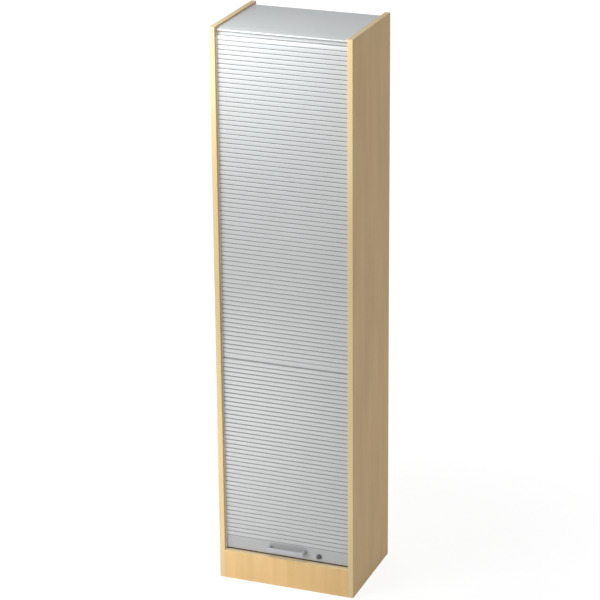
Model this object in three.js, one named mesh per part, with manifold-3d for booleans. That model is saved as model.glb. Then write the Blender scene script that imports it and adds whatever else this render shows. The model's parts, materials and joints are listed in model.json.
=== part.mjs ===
// A tall tambour door cabinet. A slatted curtain closes the front, runs up in a track in each
// side panel, over the top and down behind the inner back. Millimetres, +Z up, front towards -Y,
// origin at the middle of the floor area. Inside the cabinet group y counts from the front edges.
import * as THREE from "three";
import { mergeVertices } from "three/addons/utils/BufferGeometryUtils.js";
import Module from "manifold-3d";

// Carcass
const cabinetWidth = 500;
const cabinetDepth = 370;
const cabinetHeight = 2004;
const panelThickness = 19;
const edgeBandThickness = 2;
const edgeBandRadius = 1.5;
const plinthHeight = 106;
const plinthEdgeRadius = 1;
const backThickness = 4;
const backInset = 25;
const backFloorGap = 20;
const backGrooveDepth = 5;
const plinthBlockLeg = 38;
const plinthBlockLift = 12;

// Top cover: a sheet with a crowned, turned-down front, let into grooves in the side panels
const coverDrop = 6;
const coverThickness = 2;
const coverNoseHeight = 8.5;
const coverNoseRadius = 3.5;
const coverCrownDrop = 3;
const coverCrownLength = 42;
const coverGrooveDepth = 5;
const coverToTrack = 1.5;

// Curtain and the path it follows
const shutterRecess = 16.5;
const slatPitch = 16;
const slatThickness = 7;
const slatGrooveWidth = 3;
const slatGrooveDepth = 2.6;
const lowerSlats = 41;
const tailSlats = 3;
const tailBarLength = 18;
const jointHeight = 38;
const jointGrooveWidth = 7;
const jointGrooveDepth = 2.2;
const bendRadius = 28;
const trackToOuterBack = 2.5;
const trackToInnerBack = 3.5;
const boardBelowBend = 2;

// Guide tracks
const trackGrooveDepth = 10;
const trackWall = 2.3;
const trackWeb = 2;
const trackLip = 2;
const trackPlay = 0.7;
const slatEndPlay = 0.5;
const trackBackEnd = 60;

// Bottom rail and its buffer
const railHeight = 48;
const railThickness = 12;
const railWall = 1.8;
const railCorner = 1.2;
const bufferHeight = 5.7;
const bufferThickness = 6;
const glideTenon = 12;
const glideHeight = 42;

// Pull handle
const handleCentres = 128;
const handleBarHeight = 16;
const handleBarDepth = 6;
const handlePostWidth = 11;
const handleReach = 25.5;
const handleCorner = 7;
const handleInnerCorner = 6;
const handleBevel = 1.5;
const handleAboveRailEdge = 26;
const handleScrewRadius = 2;
const handleScrewHeadRadius = 4;
const handleScrewHeadHeight = 2.2;
const handleScrewGrip = 12;

// Lock
const lockX = 118;
const lockAboveRailEdge = 19;
const lockProud = 8.5;
const lockSnoutRadius = 7.6;
const lockFlangeRadius = 9.2;
const lockFlangeThickness = 2.6;
const lockBarrelRadius = 8;
const lockPlugRadius = 5.5;
const lockPlugProud = 0.5;
const keySlotWidth = 1.4;
const keySlotHeight = 6.4;
const keySlotDepth = 8;
const lockNutRadius = 10.5;
const lockNutThickness = 1.8;
const camStudRadius = 3;
const camThickness = 2.5;
const camLength = 20;
const camHalfWidth = 4;
const camHubRadius = 6.5;
const camScrewRadius = 4.5;
const camScrewThickness = 1.9;

// Keeper that the cam turns under
const keeperPlate = 2.5;
const keeperDepth = 10;
const keeperCamGap = 3.5;
const keeperTipGap = 2;
const keeperLipLength = 13;
const keeperFootLength = 20;
const keeperScrewSpacing = 9;
const keeperScrewRadius = 1.7;
const keeperScrewHeadRadius = 3.4;
const keeperScrewHeadHeight = 1.8;
const keeperScrewGrip = 12;

// Shelves and their supports
const fileLevels = 5;
const fixedShelf = 3;
const shelfSidePlay = 1;
const shelfBackPlay = 1;
const shelfToLock = 2;
const pinRadius = 2.5;
const pinLength = 8;
const pinPlateThickness = 2;
const pinPlateHeight = 13;
const pinPlateWidth = 10;
const pinTongueLength = 9;
const pinTongueThickness = 2.5;
const pinHoleDepth = 10;
const pinHoleSpacing = 32;
const pinHoleInset = 50;

// Clearances
const fit = 0.3;
const pinFit = 0.15;
const cutOverrun = 1;

const wasm = await Module();
wasm.setup();

function solidOf(geometry) {
  const bare = geometry.clone();
  for (const name of ["normal", "uv"]) bare.deleteAttribute(name);
  const merged = mergeVertices(bare);
  const vertProperties = merged.attributes.position.array;
  const triVerts = new Uint32Array(merged.index.array);
  return new wasm.Manifold(new wasm.Mesh({ numProp: 3, vertProperties, triVerts }));
}

function geometryOf(solid) {
  const { vertProperties, triVerts } = solid.getMesh();
  const geometry = new THREE.BufferGeometry();
  geometry.setAttribute("position", new THREE.BufferAttribute(vertProperties, 3));
  geometry.setIndex(new THREE.BufferAttribute(triVerts, 1));
  const shaded = geometry.toNonIndexed();
  shaded.computeVertexNormals();
  return shaded;
}

const join = (first, ...others) =>
  geometryOf(others.reduce((sum, other) => sum.add(solidOf(other)), solidOf(first)));

const cut = (body, ...tools) =>
  geometryOf(tools.reduce((left, tool) => left.subtract(solidOf(tool)), solidOf(body)));

// Moves every vertex of a unit-deep extrusion to its place, so that shared faces meet exactly.
function placed(geometry, place) {
  const position = geometry.attributes.position;
  for (let i = 0; i < position.count; i++) {
    const [x, y, z] = place(position.getX(i), position.getY(i), position.getZ(i));
    position.setXYZ(i, x, y, z);
  }
  geometry.computeVertexNormals();
  return geometry;
}

function extruded(outline, holes = []) {
  const shape = new THREE.Shape(outline.map(([u, v]) => new THREE.Vector2(u, v)));
  for (const hole of holes)
    shape.holes.push(new THREE.Path(hole.map(([u, v]) => new THREE.Vector2(u, v))));
  return new THREE.ExtrudeGeometry(shape, { depth: 1, bevelEnabled: false });
}

const middle = 0.5;

// Prisms along X, Y and Z, from outlines of [y, z], [x, z] and [x, y] points.
const prismX = (outline, [low, high], holes) =>
  placed(extruded(outline, holes), (u, v, t) => [t > middle ? high : low, u, v]);
const prismY = (outline, [low, high], holes) =>
  placed(extruded(outline, holes), (u, v, t) => [u, t > middle ? low : high, v]);
const prismZ = (outline, [low, high], holes) =>
  placed(extruded(outline, holes), (u, v, t) => [u, v, t > middle ? high : low]);

const box = ([x0, x1], [y0, y1], [z0, z1]) =>
  placed(new THREE.BoxGeometry(), (u, v, w) => [u > 0 ? x1 : x0, v > 0 ? y1 : y0, w > 0 ? z1 : z0]);

// A regular outline of points round [u, v].
function ringOf(u, v, radius, sides) {
  const step = (2 * Math.PI) / sides;
  return Array.from({ length: sides }, (_, i) => [
    u + radius * Math.cos((i + middle) * step),
    v + radius * Math.sin((i + middle) * step),
  ]);
}

// Points of a quarter turn round [u, v], from one angle to the next, in quarter turns.
function arcOf(u, v, radius, start, end, steps) {
  return Array.from({ length: steps + 1 }, (_, i) => {
    const angle = ((start + ((end - start) * i) / steps) * Math.PI) / 2;
    return [u + radius * Math.cos(angle), v + radius * Math.sin(angle)];
  });
}

const turned = (profile, sides) =>
  new THREE.LatheGeometry(profile.map(([r, y]) => new THREE.Vector2(r, y)), sides);

const smallSides = 8;
const roundSides = 24;
const cornerSteps = 4;
const bendSteps = 12;

// Places worked out from the sizes above. y counts from the front edges, z from the floor.
const halfWidth = cabinetWidth / 2;
const innerX = halfWidth - panelThickness;
const bandFace = cabinetHeight - edgeBandThickness;
const baseBottom = plinthHeight - panelThickness;
const coverTop = cabinetHeight - coverDrop;
const coverUnder = coverTop - coverThickness;
const coverFront = shutterRecess;
const outerBackRear = cabinetDepth - backInset;
const outerBackFace = outerBackRear - backThickness;

// The crown is a parabola that starts where the nose's arc ends and levels out at crownEnd.
const crownAngle = Math.atan((2 * coverCrownDrop) / coverCrownLength);
const crownStart = coverFront + coverNoseRadius * (1 - Math.sin(crownAngle));
const crownEnd = crownStart + coverCrownLength;
const noseCentre = [
  coverFront + coverNoseRadius,
  coverTop - coverCrownDrop - coverNoseRadius * Math.cos(crownAngle)];

const trackInside = slatThickness / 2 + trackPlay;
const trackHalf = trackInside + trackWall;
const trackFloor = innerX + trackGrooveDepth;
const trackEnd = trackFloor - trackWeb;
const lipX = innerX - trackLip;
const slatHalf = trackEnd - slatEndPlay;

const frontRun = shutterRecess + slatThickness / 2;
const backRun = outerBackFace - trackToOuterBack - trackHalf;
const bendZ = coverUnder - coverToTrack - trackHalf - bendRadius;
const innerBackRear = backRun - trackHalf - trackToInnerBack;
const innerBackFace = innerBackRear - backThickness;
const topBoardTop = bendZ - boardBelowBend;
const topBoardUnder = topBoardTop - panelThickness;

const bufferBottom = plinthHeight + fit;
const railBottom = bufferBottom + bufferHeight;
const railTop = railBottom + railHeight;
const railFront = shutterRecess;
const railBack = railFront + railThickness;
const railHalf = lipX - slatEndPlay;
const jointBottom = railTop + lowerSlats * slatPitch;
const jointTop = jointBottom + jointHeight;
const upperSlats = Math.floor((bendZ - jointTop) / slatPitch);

const handleZ = railBottom + handleAboveRailEdge;
const handleFront = railFront - handleReach;
const handleEndX = (handleCentres + handlePostWidth) / 2;
const frontY = -(cabinetDepth + Math.min(0, handleFront)) / 2;

const lockZ = railBottom + lockAboveRailEdge;
const lockBack = railBack + lockNutThickness + 2 * fit;
const camFront = lockBack + 2 * fit;
const camBack = camFront + camThickness;
const camScrewBack = camBack + fit + camScrewThickness;
const boardFront = camScrewBack + shelfToLock;

// The curtain's path in the [y, z] plane. s runs along its middle from the start of the front
// bend, negative down the front, and out is the distance from the middle towards the outside.
const quarter = (Math.PI / 2) * bendRadius;
const topRun = backRun - frontRun - 2 * bendRadius;
const frontOf = (z) => z - bendZ;
const backOf = (z) => 2 * quarter + topRun + bendZ - z;

function onPath(s, out) {
  const radius = bendRadius + out;
  const afterTop = s - quarter - topRun;
  if (s <= 0) return [frontRun - out, bendZ + s];
  if (s < quarter) {
    const angle = s / bendRadius;
    return [frontRun + bendRadius - radius * Math.cos(angle), bendZ + radius * Math.sin(angle)];
  }
  if (afterTop <= 0) return [frontRun + bendRadius + s - quarter, bendZ + radius];
  if (afterTop < quarter) {
    const angle = afterTop / bendRadius;
    return [backRun - bendRadius + radius * Math.sin(angle), bendZ + radius * Math.cos(angle)];
  }
  return [backRun + out, bendZ - afterTop + quarter];
}

const onBend = (s) => {
  const afterTop = s - quarter - topRun;
  return (s > 0 && s < quarter) || (afterTop > 0 && afterTop < quarter);
};

// A band of even thickness that follows the path from one stop to another.
function bandOutline(from, to, inside, outside) {
  const bend = Array.from({ length: bendSteps + 1 }, (_, i) => (quarter * i) / bendSteps);
  const stops = [from, ...bend, ...bend.map((s) => s + quarter + topRun), to];
  return [
    ...stops.map((s) => onPath(s, outside)),
    ...stops.reverse().map((s) => onPath(s, inside)),
  ];
}

// One face of a run of slats: flat slats with a V-shaped hinge groove between them.
function slatFace(from, count, side) {
  const face = (side * slatThickness) / 2;
  const web = face - side * slatGrooveDepth;
  const points = [onPath(from + fit / 2, web)];
  for (let i = 0; i < count; i++) {
    const start = from + i * slatPitch + slatGrooveWidth / 2;
    const end = start + slatPitch - slatGrooveWidth;
    const centre = (start + end) / 2;
    points.push(onPath(start, face));
    if (onBend(start) || onBend(end)) points.push(onPath(centre, face));
    points.push(onPath(end, face));
    if (i < count - 1) points.push(onPath(end + slatGrooveWidth / 2, web));
  }
  points.push(onPath(from + count * slatPitch - fit / 2, web));
  return points;
}

const slats = (from, count) =>
  prismX([...slatFace(from, count, 1), ...slatFace(from, count, -1).reverse()], [-slatHalf, slatHalf]);

const loopStart = frontOf(jointTop + upperSlats * slatPitch);
const loopSlats = Math.ceil((backOf(bendZ) - loopStart) / slatPitch);
const tailStart = loopStart + loopSlats * slatPitch;
const tailEnd = tailStart + tailSlats * slatPitch;

// Materials
const finish = (color, roughness, metalness = 0) => () =>
  new THREE.MeshStandardMaterial({ color, roughness, metalness });
const mapleBoard = finish(0xe0bd85, 0.55);
const mapleEdge = finish(0xddc697, 0.5);
const silverSlat = finish(0xbec0c0, 0.42, 0.35);
const silverSheet = finish(0xc7cbcc, 0.4, 0.35);
const silverRail = finish(0xaeb1b1, 0.38, 0.45);
const paleTrack = finish(0xe5e1d7, 0.6);
const softBuffer = finish(0x2c2722, 0.85);
const backBoard = finish(0xe0bd85, 0.7);
const darkLock = finish(0x5f5f62, 0.4, 0.6);
const zincSteel = finish(0xbfc2c5, 0.4, 0.8);
const blackPlastic = finish(0x26262a, 0.6);

function mesh(name, geometry, material, side = 1) {
  const piece = new THREE.Mesh(geometry, material());
  piece.name = name;
  piece.scale.x = side;
  return piece;
}

// Names the two mirrored copies of a piece that is drawn for the right-hand side.
const pair = (name, geometry, material) => [
  mesh(name + "_left", geometry, material, -1),
  mesh(name + "_right", geometry, material),
];

// Shelf levels
const levelHeight =
  (topBoardUnder - plinthHeight - (fileLevels - 1) * panelThickness) / fileLevels;
const shelfUnder = (level) =>
  plinthHeight + level * levelHeight + (level - 1) * panelThickness;
const shelfNumbers = Array.from({ length: fileLevels - 1 }, (_, i) => i + 1);
const looseShelves = shelfNumbers.filter((level) => level !== fixedShelf);
const pinBelowShelf = pinPlateHeight / 2;
const pinColumns = { front: boardFront + pinHoleInset, back: innerBackFace - pinHoleInset };

function sideCuts() {
  const deep = [innerX - cutOverrun, trackFloor + fit];
  const shallow = [innerX - cutOverrun, innerX + backGrooveDepth];
  const trackOutline = bandOutline(
    frontOf(plinthHeight), backOf(trackBackEnd - fit), -trackHalf - fit, trackHalf + fit);
  return [
    prismX(trackOutline, deep),
    box(shallow, [innerBackFace - fit, innerBackRear + fit], [trackBackEnd - fit, topBoardTop + fit]),
    box(shallow, [outerBackFace - fit, outerBackRear + fit], [backFloorGap - fit, coverUnder]),
    box([innerX - cutOverrun, innerX + coverGrooveDepth], [crownEnd - fit, outerBackRear + fit],
      [coverUnder - fit, coverTop + fit]),
    ...pinHoles(),
  ];
}

// Blind holes for the shelf pins: the one in use and one spare above and below it.
function pinHoles() {
  const rows = looseShelves.flatMap((level) =>
    [-1, 0, 1].map((step) => shelfUnder(level) - pinBelowShelf + step * pinHoleSpacing));
  return Object.values(pinColumns).flatMap((y) =>
    rows.map((z) =>
      prismX(ringOf(y, z, pinRadius + pinFit, smallSides), [innerX - cutOverrun, innerX + pinHoleDepth])));
}

function sidePanels() {
  const core = box([innerX, halfWidth], [edgeBandThickness, cabinetDepth], [0, bandFace]);
  return pair("side_panel", cut(core, ...sideCuts()), mapleBoard);
}

// Edge banding: a flat strip whose two outer corners are rounded.
function bandSection(base, face) {
  const towards = Math.sign(face - base);
  const centre = face - towards * edgeBandRadius;
  return [
    [innerX, base],
    ...arcOf(innerX + edgeBandRadius, centre, edgeBandRadius, 2, 2 - towards, cornerSteps),
    ...arcOf(halfWidth - edgeBandRadius, centre, edgeBandRadius, towards, 0, cornerSteps),
    [halfWidth, base],
  ];
}

function edgeBands() {
  const front = prismZ(bandSection(edgeBandThickness, 0), [0, cabinetHeight]);
  const top = prismY(bandSection(bandFace, cabinetHeight), [edgeBandThickness, cabinetDepth]);
  return [...pair("front_edge", front, mapleEdge), ...pair("top_edge", top, mapleEdge)];
}

const across = (half) => [-half, half];

function plinth() {
  const corner = arcOf(
    plinthEdgeRadius, plinthHeight - plinthEdgeRadius, plinthEdgeRadius, 2, 1, cornerSteps);
  const outline = [[0, 0], ...corner, [panelThickness, plinthHeight], [panelThickness, 0]];
  const blockX = innerX - plinthBlockLeg;
  const block = [[innerX, panelThickness], [innerX, panelThickness + plinthBlockLeg],
    [blockX, panelThickness]];
  return [
    mesh("plinth_panel", prismX(outline, across(innerX)), mapleBoard),
    mesh("rear_plinth",
      box(across(innerX), [innerBackFace - panelThickness, innerBackFace], [0, baseBottom]), mapleBoard),
    ...pair("plinth_block", prismZ(block, [plinthBlockLift, baseBottom]), mapleBoard),
  ];
}

// Keeper on the base board: a foot, a leg and a lip that the cam turns under.
const keeperLeg = lockX + camLength + keeperTipGap;
const keeperUnder = lockZ + camHalfWidth + keeperCamGap;
const keeperY = [lockBack + 2 * fit, lockBack + 2 * fit + keeperDepth];
const keeperScrewY = (keeperY[0] + keeperY[1]) / 2;
const keeperFootMiddle = keeperLeg + keeperPlate + keeperFootLength / 2;
const keeperScrewXs = [-1, 1].map((side) => keeperFootMiddle + (side * keeperScrewSpacing) / 2);

function keeper() {
  const legEnd = keeperLeg + keeperPlate;
  const lipTop = keeperUnder + keeperPlate;
  const footTop = plinthHeight + keeperPlate;
  const outline = [
    [keeperLeg, plinthHeight], [legEnd + keeperFootLength, plinthHeight],
    [legEnd + keeperFootLength, footTop], [legEnd, footTop], [legEnd, lipTop],
    [legEnd - keeperLipLength, lipTop], [legEnd - keeperLipLength, keeperUnder],
    [keeperLeg, keeperUnder],
  ];
  const holes = keeperScrewXs.map((x) => keeperScrewHole(x, footTop + cutOverrun));
  return mesh("lock_keeper", cut(prismY(outline, keeperY), ...holes), zincSteel);
}

const keeperScrewHole = (x, top) =>
  prismZ(ringOf(x, keeperScrewY, keeperScrewRadius + fit, smallSides),
    [plinthHeight - keeperScrewGrip - fit, top]);

function keeperScrews() {
  const head = plinthHeight + keeperPlate + fit;
  const top = head + keeperScrewHeadHeight;
  return keeperScrewXs.map((x, i) => {
    const shank = ringOf(x, keeperScrewY, keeperScrewRadius, smallSides);
    const cap = ringOf(x, keeperScrewY, keeperScrewHeadRadius, roundSides / 2);
    const screw = join(prismZ(shank, [plinthHeight - keeperScrewGrip, top]), prismZ(cap, [head, top]));
    return mesh("keeper_screw_" + (i + 1), screw, zincSteel);
  });
}

function boards() {
  const depthwise = [boardFront, innerBackFace];
  const base = cut(
    box(across(innerX), [panelThickness, innerBackFace], [baseBottom, plinthHeight]),
    ...keeperScrewXs.map((x) => keeperScrewHole(x, plinthHeight + cutOverrun)));
  const fixedUnder = shelfUnder(fixedShelf);
  return [
    mesh("base_board", base, mapleBoard),
    mesh("top_board", box(across(innerX), depthwise, [topBoardUnder, topBoardTop]), mapleBoard),
    mesh("fixed_shelf",
      box(across(innerX), depthwise, [fixedUnder, fixedUnder + panelThickness]), mapleBoard),
  ];
}

function looseShelf(level) {
  const under = shelfUnder(level);
  const board = box(across(innerX - shelfSidePlay), [boardFront, innerBackFace - shelfBackPlay],
    [under, under + panelThickness]);
  const pins = Object.entries(pinColumns).flatMap(([row, y]) =>
    pair("shelf_" + level + "_pin_" + row, shelfPin(y, under), zincSteel));
  return [mesh("shelf_" + level, board, mapleBoard), ...pins];
}

// A pin in the side panel with a plate against the panel and a tongue under the shelf.
function shelfPin(y, under) {
  const back = innerX - fit;
  const width = [y - pinPlateWidth / 2, y + pinPlateWidth / 2];
  const bracket = [
    [back, under], [back - pinTongueLength, under], [back - pinTongueLength, under - pinTongueThickness],
    [back - pinPlateThickness, under - pinTongueThickness],
    [back - pinPlateThickness, under - pinPlateHeight], [back, under - pinPlateHeight],
  ];
  const shank = ringOf(y, under - pinBelowShelf, pinRadius, smallSides);
  return join(prismY(bracket, width), prismX(shank, [back - pinPlateThickness / 2, innerX + pinLength]));
}

function backs() {
  const half = innerX + backGrooveDepth - fit;
  return [
    mesh("inner_back",
      box(across(half), [innerBackFace, innerBackRear], [trackBackEnd, topBoardTop]), backBoard),
    mesh("outer_back",
      box(across(half), [outerBackFace, outerBackRear], [backFloorGap, coverUnder - fit]), backBoard),
  ];
}

// The cover's front, seen from the side: a turned-down lip, a round nose and a crown that rises
// to the flat sheet. The inner line is the same line, one sheet thickness further in.
function coverFrontLine(inset) {
  const radius = coverNoseRadius - inset;
  const arcEnd = 2 - (Math.PI / 2 - crownAngle) / (Math.PI / 2);
  const rise = Array.from({ length: bendSteps }, (_, i) => (i + 1) / bendSteps);
  return [
    [coverFront + inset, coverTop - coverNoseHeight],
    ...arcOf(noseCentre[0], noseCentre[1], radius, 2, arcEnd, cornerSteps),
    ...rise.map((share) => [
      crownStart + share * coverCrownLength,
      coverTop - inset - coverCrownDrop * (1 - share) ** 2]),
  ];
}

// The front fits between the side panels, and the flat part reaches into their grooves.
function cover() {
  const front = [...coverFrontLine(0), [outerBackRear, coverTop]];
  const behind = [...coverFrontLine(coverThickness), [outerBackRear, coverUnder]];
  const narrow = prismX([...front, ...behind.reverse()], across(innerX - fit));
  const wide = box(across(innerX + coverGrooveDepth - fit), [crownEnd, outerBackRear],
    [coverUnder, coverTop]);
  return mesh("top_cover", join(narrow, wide), silverSheet);
}

// U-shaped track: a web at the bottom of the panel's groove and a wall on each side of the slats.
function tracks() {
  const run = [frontOf(plinthHeight + fit), backOf(trackBackEnd)];
  const web = prismX(bandOutline(...run, -trackHalf, trackHalf), [trackEnd, trackFloor]);
  const outer = prismX(bandOutline(...run, trackInside, trackHalf), [lipX, trackFloor]);
  const inner = prismX(bandOutline(...run, -trackHalf, -trackInside), [lipX, trackFloor]);
  return pair("track", join(web, outer, inner), paleTrack);
}

// The stiff profile that couples the two halves of the curtain, with a seam in its middle.
function jointFace(side) {
  const face = (side * slatThickness) / 2;
  const web = face - side * slatGrooveDepth;
  const seam = (jointBottom + jointTop) / 2;
  return [
    [jointBottom + fit / 2, web], [jointBottom + slatGrooveWidth / 2, face],
    [seam - jointGrooveWidth / 2, face], [seam, face - side * jointGrooveDepth],
    [seam + jointGrooveWidth / 2, face], [jointTop - slatGrooveWidth / 2, face],
    [jointTop - fit / 2, web],
  ].map(([z, out]) => onPath(frontOf(z), out));
}

function frontCurtain() {
  const seam = prismX([...jointFace(1), ...jointFace(-1).reverse()], across(slatHalf));
  return [
    mesh("curtain_lower", slats(frontOf(railTop), lowerSlats), silverSlat),
    mesh("joint_profile", seam, silverSlat),
    mesh("curtain_upper", slats(frontOf(jointTop), upperSlats), silverSlat),
    mesh("curtain_loop", slats(loopStart, loopSlats), silverSlat),
  ];
}

function tail() {
  const group = new THREE.Group();
  const half = slatThickness / 2;
  const bar = bandOutlineStraight(tailEnd + fit, tailEnd + tailBarLength, half);
  group.add(
    mesh("curtain_tail", slats(tailStart, tailSlats), silverSlat),
    mesh("tail_end_bar", prismX(bar, across(slatHalf)), silverRail));
  return group;
}

const bandOutlineStraight = (from, to, half) => [
  onPath(from, half), onPath(to, half), onPath(to, -half), onPath(from, -half)];

// Bottom rail: a hollow profile, open at its ends, with holes for the handle's screws and the lock.
function rectangle([u0, u1], [v0, v1], radius) {
  return [
    ...arcOf(u0 + radius, v0 + radius, radius, 2, 3, cornerSteps),
    ...arcOf(u1 - radius, v0 + radius, radius, 3, 4, cornerSteps),
    ...arcOf(u1 - radius, v1 - radius, radius, 0, 1, cornerSteps),
    ...arcOf(u0 + radius, v1 - radius, radius, 1, 2, cornerSteps),
  ];
}

const handleScrewXs = [-handleCentres / 2, handleCentres / 2];
const hollowY = [railFront + railWall, railBack - railWall];
const hollowZ = [railBottom + railWall, railTop - fit - railWall];

function bottomRail() {
  const outline = rectangle([railFront, railBack], [railBottom, railTop - fit], railCorner);
  const hollow = [
    [hollowY[0], hollowZ[0]], [hollowY[1], hollowZ[0]], [hollowY[1], hollowZ[1]], [hollowY[0], hollowZ[1]]];
  const through = [railFront - cutOverrun, railBack + cutOverrun];
  const holes = handleScrewXs.map((x) =>
    prismY(ringOf(x, handleZ, handleScrewRadius + fit, smallSides), through));
  const lockHole = prismY(ringOf(lockX, lockZ, lockBarrelRadius + fit, roundSides), through);
  const tube = prismX(outline, across(railHalf), [hollow]);
  return mesh("bottom_rail", cut(tube, ...holes, lockHole), silverRail);
}

// End caps of the rail: a tenon in the hollow and a tongue that slides in the track.
function railGlides() {
  const middleZ = (railBottom + railTop) / 2;
  const tongue = box([railHalf + fit, slatHalf], [railFront, railFront + slatThickness],
    [middleZ - glideHeight / 2, middleZ + glideHeight / 2]);
  const tenon = box([railHalf - glideTenon, railHalf + fit + trackWeb],
    [hollowY[0] + fit, railFront + slatThickness - fit], [hollowZ[0] + fit, hollowZ[1] - fit]);
  return pair("rail_glide", join(tongue, tenon), blackPlastic);
}

function railBuffer() {
  const centre = railFront + railThickness / 2;
  const half = bufferThickness / 2;
  const outline = [
    [centre - half, railBottom], [centre + half, railBottom],
    ...arcOf(centre, bufferBottom + half, half, 4, 2, 2 * cornerSteps)];
  return mesh("rail_buffer", prismX(outline, across(railHalf)), softBuffer);
}

// Bow handle, drawn from above and given rounded upper and lower edges.
function handleOutline() {
  const foot = railFront - fit;
  const innerEnd = handleEndX - handlePostWidth;
  const [outerX, outerY] = [handleEndX - handleCorner, handleFront + handleCorner];
  const cornerX = innerEnd - handleInnerCorner;
  const cornerY = handleFront + handleBarDepth + handleInnerCorner;
  return [
    ...arcOf(-outerX, outerY, handleCorner, 2, 3, cornerSteps),
    ...arcOf(outerX, outerY, handleCorner, 3, 4, cornerSteps),
    [handleEndX, foot], [innerEnd, foot],
    ...arcOf(cornerX, cornerY, handleInnerCorner, 4, 3, cornerSteps),
    ...arcOf(-cornerX, cornerY, handleInnerCorner, 3, 2, cornerSteps),
    [-innerEnd, foot], [-handleEndX, foot],
  ];
}

function pullHandle() {
  const shape = new THREE.Shape(handleOutline().map(([x, y]) => new THREE.Vector2(x, y)));
  const bow = new THREE.ExtrudeGeometry(shape, {
    depth: handleBarHeight - 2 * handleBevel, bevelThickness: handleBevel,
    bevelSize: handleBevel, bevelOffset: -handleBevel, bevelSegments: 2,
  });
  bow.translate(0, 0, handleZ - handleBarHeight / 2 + handleBevel);
  const foot = railFront - fit;
  const holes = handleScrewXs.map((x) =>
    prismY(ringOf(x, handleZ, handleScrewRadius + fit, smallSides),
      [foot - handleScrewGrip, foot + cutOverrun]));
  return mesh("pull_handle", cut(bow, ...holes), silverRail);
}

function handleScrews() {
  const head = [railBack + fit, railBack + fit + handleScrewHeadHeight];
  const shankFront = railFront - handleScrewGrip + fit;
  return handleScrewXs.map((x, i) => {
    const cap = ringOf(x, handleZ, handleScrewHeadRadius, roundSides / 2);
    const shank = ringOf(x, handleZ, handleScrewRadius, smallSides);
    return mesh("handle_screw_" + (i + 1), join(prismY(cap, head), prismY(shank, [shankFront, head[1]])),
      zincSteel);
  });
}

const snoutFront = railFront - lockProud;

function lockHousing() {
  const bore = lockPlugRadius + fit;
  const flangeBack = railFront - fit;
  const flangeFront = flangeBack - lockFlangeThickness;
  const profile = [
    [bore, snoutFront], [lockSnoutRadius, snoutFront], [lockSnoutRadius, flangeFront],
    [lockFlangeRadius, flangeFront], [lockFlangeRadius, flangeBack], [lockBarrelRadius, flangeBack],
    [lockBarrelRadius, lockBack], [bore, lockBack], [bore, snoutFront],
  ];
  const housing = mesh("lock_housing", turned(profile, roundSides), darkLock);
  housing.position.set(lockX, 0, lockZ);
  return housing;
}

function lockNut() {
  const hole = ringOf(0, 0, lockBarrelRadius + fit, roundSides);
  const front = railBack + fit;
  const ring = prismY(ringOf(0, 0, lockNutRadius, 6), [front, front + lockNutThickness], [hole]);
  const nut = mesh("lock_nut", ring, zincSteel);
  nut.position.set(lockX, 0, lockZ);
  return nut;
}

// The plug with its key slot, and the cam that hangs down while the lock is open.
function lockPlug() {
  const front = snoutFront - lockPlugProud;
  const body = turned(
    [[0, front], [lockPlugRadius, front], [lockPlugRadius, lockBack + fit],
      [camStudRadius, lockBack + fit], [camStudRadius, camBack], [0, camBack]], roundSides);
  const slot = box(across(keySlotWidth / 2), [front - cutOverrun, front + keySlotDepth],
    across(keySlotHeight / 2));
  return mesh("lock_plug", cut(body, slot), darkLock);
}

function lockCam() {
  const outline = [
    ...arcOf(0, 0, camHubRadius, 0, 2, 2 * cornerSteps),
    [-camHalfWidth, -camHubRadius],
    ...arcOf(0, camHalfWidth - camLength, camHalfWidth, 2, 4, 2 * cornerSteps),
    [camHalfWidth, -camHubRadius],
  ];
  const hole = ringOf(0, 0, camStudRadius + fit, smallSides * 2);
  return mesh("lock_cam", prismY(outline, [camFront, camBack], [hole]), zincSteel);
}

function lockTurning() {
  const group = new THREE.Group();
  group.position.set(lockX, 0, lockZ);
  const head = prismY(ringOf(0, 0, camScrewRadius, roundSides / 2), [camBack + fit, camScrewBack]);
  group.add(lockPlug(), lockCam(), mesh("cam_screw", head, zincSteel));
  return group;
}

function carcass() {
  const group = new THREE.Group();
  group.add(
    ...sidePanels(), ...edgeBands(), ...plinth(), ...boards(), ...backs(), cover(), ...tracks(),
    keeper(), ...keeperScrews(), ...looseShelves.flatMap(looseShelf), ...frontCurtain());
  return group;
}

function shutter() {
  const group = new THREE.Group();
  group.add(
    bottomRail(), ...railGlides(), railBuffer(), pullHandle(), ...handleScrews(),
    lockHousing(), lockNut(), lockTurning());
  return group;
}

const cabinet = new THREE.Group();
cabinet.position.set(0, frontY, 0);
cabinet.add(carcass(), shutter(), tail());

const model = new THREE.Group();
model.add(cabinet);

export default model;
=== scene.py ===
# %% [markdown]
# # A tambour door cabinet
#
# This lesson dresses a tall file cabinet. Its front is a curtain of narrow silver slats that
# slides up in two tracks, bends over the top and goes down again behind an inner back. The
# carcass is board with a light maple decor.
#
# The imported CAD model gives every place and size. We load it first.

# %% Load the imported model
import json
import math

import bmesh
import bpy
from mathutils import Matrix, Vector


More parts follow.
